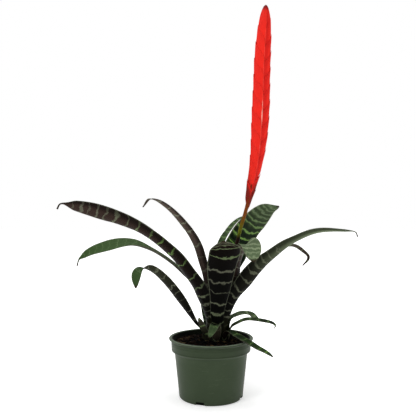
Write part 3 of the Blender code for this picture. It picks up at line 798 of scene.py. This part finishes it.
def makeStalk(path):
    bm = bmesh.new()
    bmesh.ops.create_cone(bm, cap_ends=True, segments=flower["sides"], radius1=1, radius2=1, depth=1)
    uprights = [edge for edge in bm.edges if abs(edge.verts[0].co.z - edge.verts[1].co.z) > 0.5]
    bmesh.ops.subdivide_edges(bm, edges=uprights, cuts=flower["rows"])
    for vert in bm.verts:
        where = (flower["start"] + flower["overlap"]) * (vert.co.z + 0.5)
        radius = flower["stalkRadius"] - flower["thinning"] * ramp(*flower["thins"], where)
        flat, thin = crossWays(path, max(where, 0.016))
        vert.co = path.place(where) + (flat * vert.co.x + thin * vert.co.y) * radius
    newPiece("flower_stalk", bm, [stalkPaint()], ["flower_stalk"])
    bm, *look = newFlowerMesh()
    for index in range(-flower["stalkBracts"], 0):
        start = flower["start"] + index * flower["step"] / path.length
        makeBract(bm, look, path, start, flower["stalkBract"] / path.length, 1 if index % 2 else -1)
    thicken(newPiece("stalkBracts", bm, [spikePaint()], ["flower_stalk"]), bract["thickness"], -1)


def makeSpike(path):
    bm, *look = newFlowerMesh()
    last = flower["spikeBracts"] - 1
    for index in range(last + 1):
        start = blendOf(flower["start"], 1 - flower["lastBract"] / path.length, index / last)
        end = min(start + flower["spikeBract"] / path.length, 1 - 0.003 * (last - index))
        sweep = 1 - ramp(*flower["sweepEnds"], index / last)
        makeBract(bm, look, path, start, end - start, 1 if index % 2 else -1, sweep)
    paint = spikePaint()
    thicken(newPiece("flower_spike", bm, [paint], ["flower_spike"]), bract["thickness"], -1)
    bm, *look = newFlowerMesh()
    bmesh.ops.create_uvsphere(bm, u_segments=16, v_segments=60, radius=1)
    for vert in bm.verts:
        share = (vert.co.z + 1) / 2
        where = blendOf(flower["start"] - 0.02, 0.985, share)
        centre = path.place(where)
        flat, thin = crossWays(path, where)
        ring = vert.co.xy.normalized() if vert.co.xy.length > 0.001 else Vector((0, 0))
        half = flowerHalf(centre.z) * flower["coreShare"]
        vert.co = centre + flat * ring.x * half + thin * ring.y * (flower["coreHalf"] - share)
        vert[look[0]] = (0, 1, share)
    newPiece("spikeCore", bm, [paint], ["flower_spike"])


# A boat-shaped bract folded along its keel, which is the spike's edge. Its margins sweep back from
# the middle to the keel, where it ends in a point. In front the left rank laps over the right one
# along a ridge, and behind it is the other way round.
bract = dict(columns=20, rows=26, thickness=0.45, ridge=2.5, ridgeShare=0.3, foot=0.4, widens=0.35,
             tipOut=0.9, tipStart=0.6, lapUnder=2.0, lapOver=0.5, sweepStart=0.45, sweepCurve=1.3,
             crown=(1.2, 0.2), crownCurve=0.75, skin=0.4, lift=(-0.7, 0.5), overLift=0.35, keel=0.15)


def makeBract(bm, look, path, start, length, hand, sweep=1):
    grid = bmesh.ops.create_grid(bm, x_segments=bract["columns"], y_segments=bract["rows"], size=1)["verts"]
    low, high = flower["heights"]
    for vert in grid:
        across, share = vert.co.x, (vert.co.y + 1) / 2
        inward, face = abs(across), -1 if across < 0 else 1
        where = start + length * share
        centre = path.place(where)
        edge = flowerHalf(centre.z)
        outer = edge * blendOf(bract["foot"], 1, ramp(0, bract["widens"], share))
        outer += bract["tipOut"] * ramp(bract["tipStart"], 1, share) * sweep
        laps = hand == face
        ridge = min(bract["ridge"], edge * bract["ridgeShare"]) * (-1 if laps else 1)
        swept = sweep * ramp(bract["sweepStart"], 1, share) ** bract["sweepCurve"]
        inner = blendOf(ridge - bract["lapOver" if laps else "lapUnder"], outer - 0.2, swept)
        out = blendOf(outer, inner, inward)
        fall = (out - ridge) / (edge - ridge + 0.01) if out > ridge else (ridge - out) / (edge + ridge + 0.01)
        crown = bract["crown"][0] + bract["crown"][1] * edge
        rise = bract["skin"] + crown * max(1 - fall, 0) ** bract["crownCurve"]
        rise += blendOf(*bract["lift"], ramp(0, bract["tipStart"], share))
        rise += bract["overLift"] if laps else 0
        flat, thin = crossWays(path, where)
        vert.co = centre + flat * hand * out + thin * face * rise * ramp(0, bract["keel"], inward)
        vert[look[0]] = (share, inward, (centre.z - low) / (high - low))
        vert[look[1]] = 1 if laps else 0


def stalkPaint():
    paint = Paint("stalkSkin")
    place = paint.objectPlace()
    height = paint.parts(place)[2]
    veins = paint.noise(paint.stretched(place, (1, 1, 0.06)), 700.0, 2.0, 0.5)
    body = paint.mix(paint.step(height, 0.29, 0.33), colour(98, 112, 22), colour(122, 66, 20))
    body = paint.mix(paint.step(height, 0.325, 0.37), body, colour(122, 34, 20))
    body = paint.mix(1 - paint.step(height, 0.284, 0.296), body, colour(26, 14, 16))
    body = paint.mix(veins * 0.4, body, colour(60, 34, 10))
    return paint.finish({
        "Base Color": body,
        "Roughness": 0.4,
        "Specular IOR Level": 0.04,
        "Normal": paint.bump(veins, 0.4, 0.4)})


# The attribute bract holds the share along a bract, how far in from its keel a point lies and its
# share of the spike's height, and rank is 1 where a bract laps over the other rank.
spikeSkin = dict(
    bright=colour(226, 36, 26), deep=colour(206, 24, 18), end=colour(160, 14, 16), vein=colour(240, 74, 54),
    shaded=colour(164, 4, 10), pale=colour(252, 190, 174), foot=colour(92, 26, 18), tip=colour(110, 16, 16),
    veins=520.0, clouds=40.0, streaks=90.0, streaked=(0.45, 0.7), endStart=(0.4, 1.0), shade=(0.25, 0.55),
    paleFrom=(0.25, 0.38), paleTo=(0.5, 0.62), marginHighlight=(0.87, 0.96), marginEnd=(0.35, 0.55),
    footEnd=(0.11, 0.22), tipStart=(0.965, 0.992), roughness=0.36, uneven=0.12, specular=0.08)


def spikePaint():
    skin = spikeSkin
    paint = Paint("spikeScarlet")
    share, inward, height = paint.parts(paint.read("bract", 1))
    laps = paint.read("rank")
    place = paint.objectPlace()
    veins = paint.noise(paint.stretched(place, (1, 1, 0.07)), skin["veins"], 3.0, 0.6)
    clouds = paint.noise(place, skin["clouds"], 2.0, 0.5)
    streaks = paint.noise(paint.stretched(place, (1, 1, 0.2)), skin["streaks"], 2.0, 0.5)
    body = paint.mix(clouds, skin["bright"], skin["deep"])
    body = paint.mix(paint.step(share, *skin["endStart"]) * 0.3, body, skin["end"])
    body = paint.mix(veins * 0.2, body, skin["vein"])
    body = paint.mix((1 - laps) * paint.step(inward, *skin["shade"]) * 0.38, body, skin["shaded"])
    # Painted highlight where the lapping margins catch the light at middle heights, over a faint pale margin.
    pale = paint.step(height, *skin["paleFrom"]) * (1 - paint.step(height, *skin["paleTo"]))
    marginHighlight = paint.step(inward, *skin["marginHighlight"]) * laps * (1.1 - paint.step(share, *skin["marginEnd"]))
    marginHighlight = marginHighlight * (0.04 + 1.2 * pale * paint.step(streaks, *skin["streaked"]))
    body = paint.mix(marginHighlight, body, skin["pale"])
    foot = 1 - paint.step(height + (clouds - 0.5) * 0.1 + inward * 0.09, *skin["footEnd"])
    body = paint.mix(foot * 0.9, body, skin["foot"])
    body = paint.mix(paint.step(height, *skin["tipStart"]), body, skin["tip"])
    return paint.finish({
        "Base Color": body,
        "Roughness": skin["roughness"] + clouds * skin["uneven"],
        "Specular IOR Level": skin["specular"],
        "Normal": paint.bump(veins, 0.35, 0.4)})


def stemPaint():
    paint = Paint("stemWood")
    rings = paint.noise(paint.stretched(paint.objectPlace(), (1, 1, 5)), 120.0, 3.0, 0.6)
    body = paint.mix(rings, colour(40, 32, 20), colour(96, 90, 56))
    return paint.finish({
        "Base Color": body,
        "Roughness": 0.75,
        "Normal": paint.bump(rings, 0.5, 0.8)})


# Floor, sky, light and camera. The camera's lengths are millimetres, the others here metres. The
# sky is brighter behind the plant than in front of it, and the camera sees it white.
studio = dict(distance=1045, height=340, shift=-5.5, lens=50, sensor=36, floorSize=8.0, fade=(0.15, 0.7),
              floorNear=(0.42, 0.42, 0.42), floorBase=(0.86, 0.86, 0.86), white=(1, 1, 1),
              skyTurn=(-0.75, 0.35), skyFront=0.1, skyGain=0.5)
lamps = {
    "keySoftbox": dict(place=(-1.3, -1.5, 1.9), aim=(0, 0, 0.3), size=1.2, power=26),
    "topSoftbox": dict(place=(0.1, 0.3, 2.2), aim=(0, 0, 0.2), size=2.0, power=26),
    "rightFill": dict(place=(1.6, -1.0, 0.9), aim=(0, 0, 0.3), size=1.2, power=5),
}


def makeFloor():
    bm = bmesh.new()
    bmesh.ops.create_grid(bm, x_segments=8, y_segments=8, size=studio["floorSize"])
    mesh = bpy.data.meshes.new("floor")
    bm.to_mesh(mesh)
    bm.free()
    floor = bpy.data.objects.new("floor", mesh)
    bpy.context.scene.collection.objects.link(floor)
    paint = Paint("floorWhite")
    far = paint.step(paint.length(paint.objectPlace()), *studio["fade"])
    mesh.materials.append(paint.finish({
        "Base Color": studio["floorBase"],
        "Roughness": 0.9,
        "Specular IOR Level": 0.1,
        "Emission Color": paint.mix(far, studio["floorNear"], studio["white"]),
        "Emission Strength": 1.0}))


def makeSky():
    sky = Paint("studioSky", bpy.data.worlds, "Background")
    turn = sky.parts(sky.node("ShaderNodeTexCoord"))[1]
    glow = studio["skyFront"] + studio["skyGain"] * sky.step(turn, *studio["skyTurn"])
    seen = sky.node("ShaderNodeLightPath")
    bpy.context.scene.world = sky.finish({"Color": studio["white"], "Strength": glow + seen * (1 - glow)})


def makeLamp(name, place, aim, size, power):
    lamp = bpy.data.lights.new(name, "AREA")
    lamp.shape = "SQUARE"
    lamp.size = size
    lamp.energy = power
    made = bpy.data.objects.new(name, lamp)
    made.location = place
    made.rotation_euler = (Vector(aim) - Vector(place)).to_track_quat("-Z", "Y").to_euler()
    bpy.context.scene.collection.objects.link(made)


def makeCamera():
    scene = bpy.context.scene
    lens = bpy.data.cameras.new("camera")
    lens.lens = studio["lens"]
    lens.sensor_width = studio["sensor"]
    camera = bpy.data.objects.new("camera", lens)
    camera.location = Vector((studio["shift"], -studio["distance"], studio["height"])) * mm
    camera.rotation_euler = (radians(90), 0, 0)
    scene.collection.objects.link(camera)
    scene.camera = camera
    scene.view_settings.view_transform = "Standard"
    scene.view_settings.look = "None"


makeFloor()
makeSky()
for lampName, lampValues in lamps.items():
    makeLamp(lampName, **lampValues)
makeCamera()
print("studio ready")
makePot()
print("pot turned")
makeSoil()
makeBark()
print("soil and bark laid")
leafPaints = [leafPaint("under"), leafPaint("upper")]
for leafName, leafValues in leaves.items():
    makeLeaf(leafName, {**leafHabit, **leafValues}, leafPaints)
print("leaves grown:", len(leaves))
flowerLine = flowerPath()
makeStalk(flowerLine)
makeSpike(flowerLine)
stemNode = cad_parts["stem"]
stemNode.data.materials.clear()
stemNode.data.materials.append(stemPaint())
print("flower and stem ready")
